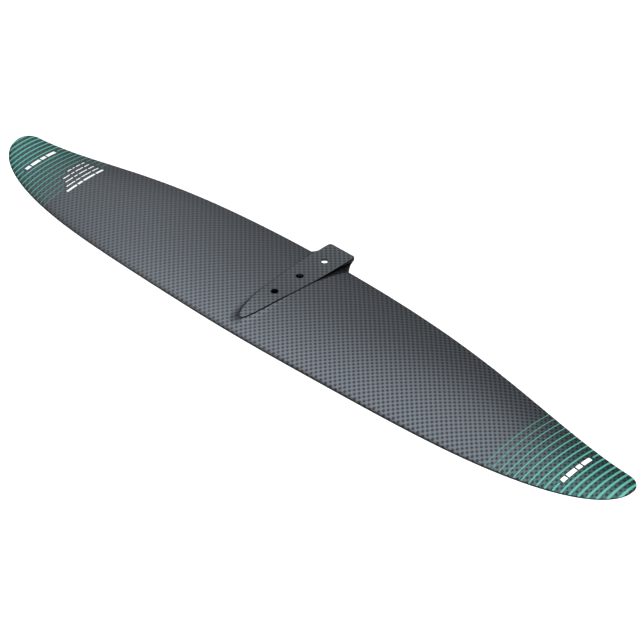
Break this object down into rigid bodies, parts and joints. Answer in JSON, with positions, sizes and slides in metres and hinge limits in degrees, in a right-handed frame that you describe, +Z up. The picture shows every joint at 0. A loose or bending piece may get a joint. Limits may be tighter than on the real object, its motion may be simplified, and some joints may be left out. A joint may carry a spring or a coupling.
{
  "type": "hydrofoil front wing",
  "caption": "Carbon hydrofoil front wing with drooped tips, swept elliptical leading edge and a raised bolt-on fuselage seat with a rear tongue.",
  "frame": {"origin": "axis of the middle bolt hole, in the plane of the fuselage seat", "axes": "+X along the span to the right tip, +Y from leading edge to trailing edge (aft), +Z up, out of the fuselage seat"},
  "size_m": [0.8036, 0.1535, 0.0349],
  "materials": {
    "carbon_weave": "clear-coated plain-weave carbon, satin gloss",
    "carbon_edge": "near-black carbon edge tape, satin",
    "solid_laminate": "solid carbon laminate, matt cut faces",
    "spar_carbon": "unidirectional carbon, satin",
    "foam_core": "closed-cell structural foam",
    "screw_seat_steel": "turned stainless steel",
    "mint_print": "mint-green print under clear coat",
    "white_print": "white print under clear coat"
  },
  "bodies": {
    "root": {"upper_skin": "carbon_weave", "lower_skin": "carbon_weave", "leading_edge_strip": "carbon_edge", "left_trailing_edge": "carbon_weave", "right_trailing_edge": "carbon_weave", "left_tip_cap": "carbon_weave", "right_tip_cap": "carbon_weave", "mounting_plate": "carbon_weave", "left_seat_fairing": "carbon_weave", "right_seat_fairing": "carbon_weave", "root_block": "solid_laminate", "left_nose_core": "foam_core", "right_nose_core": "foam_core", "left_rear_core": "foam_core", "right_rear_core": "foam_core", "spar_core": "foam_core", "front_shear_web": "solid_laminate", "rear_shear_web": "solid_laminate", "upper_spar_cap": "spar_carbon", "lower_spar_cap": "spar_carbon", "left_tip_block": "solid_laminate", "right_tip_block": "solid_laminate", "screw_seats": "screw_seat_steel", "rear_screw_washer": "screw_seat_steel", "left_tip_stripes": "mint_print", "right_tip_stripes": "mint_print", "left_tip_mark": "white_print", "right_tip_mark": "white_print", "size_label": "white_print"}
  },
  "joints": []
}
